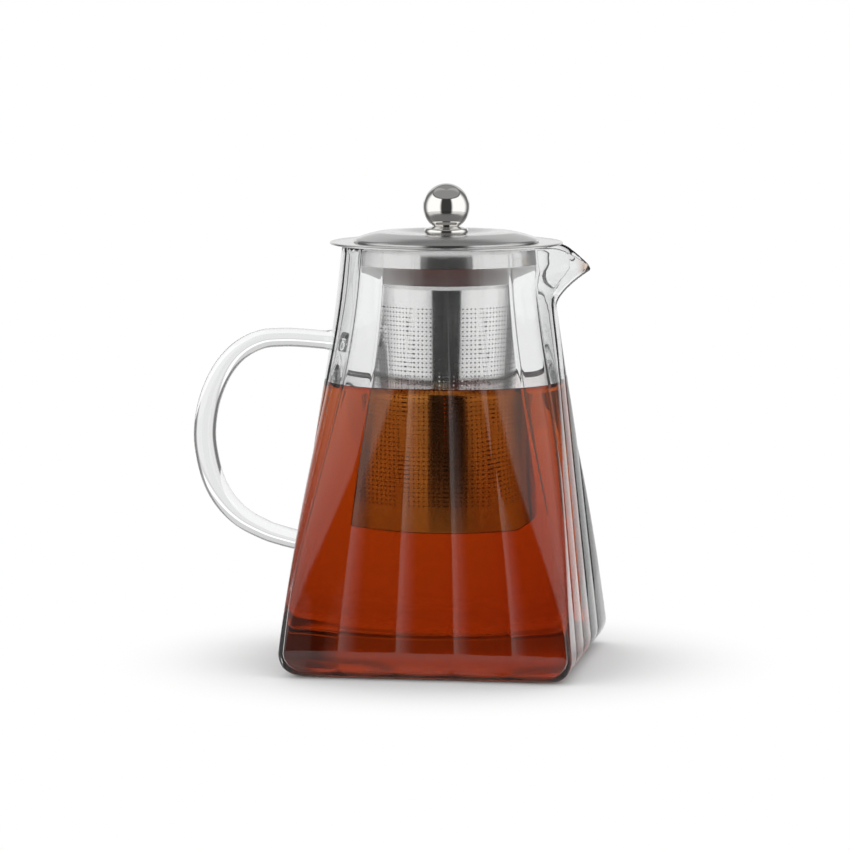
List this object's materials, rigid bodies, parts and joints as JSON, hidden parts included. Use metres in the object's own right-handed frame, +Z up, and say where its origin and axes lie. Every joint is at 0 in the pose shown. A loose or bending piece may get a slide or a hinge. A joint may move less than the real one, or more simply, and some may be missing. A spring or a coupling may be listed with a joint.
{
  "type": "glass teapot",
  "caption": "Fluted clear glass teapot with a round mouth on a square base, side loop handle, pouring lip, lift-out steel leaf infuser and domed steel lid with a ball knob.",
  "frame": {"origin": "on the table, on the vertical axis of the round mouth, at the middle of the square base", "axes": "+Z up, +X towards the pouring lip, -X towards the handle, -Y out of the flat face seen from the front"},
  "size_m": [0.1458, 0.105, 0.1733],
  "materials": {
    "clear_glass": "clear blown borosilicate glass",
    "brushed_steel": "satin stainless steel",
    "polished_steel": "mirror polished stainless steel"
  },
  "bodies": {
    "pot": {"pot_body": "clear_glass", "handle": "clear_glass"},
    "infuser": {"infuser_collar": "brushed_steel", "infuser_basket": "brushed_steel", "infuser_base": "brushed_steel"},
    "lid": {"lid_dome": "brushed_steel", "lid_skirt": "brushed_steel", "knob_foot": "polished_steel", "knob_ball": "polished_steel", "knob_washer": "polished_steel", "knob_screw": "polished_steel"}
  },
  "joints": [
    {"name": "infuser_lift", "type": "slide", "parent": "pot", "child": "infuser", "axis": [0, 0, 1], "range_m": [0, 0.11]},
    {"name": "lid_lift", "type": "slide", "parent": "infuser", "child": "lid", "axis": [0, 0, 1], "range_m": [0, 0.05]}
  ]
}
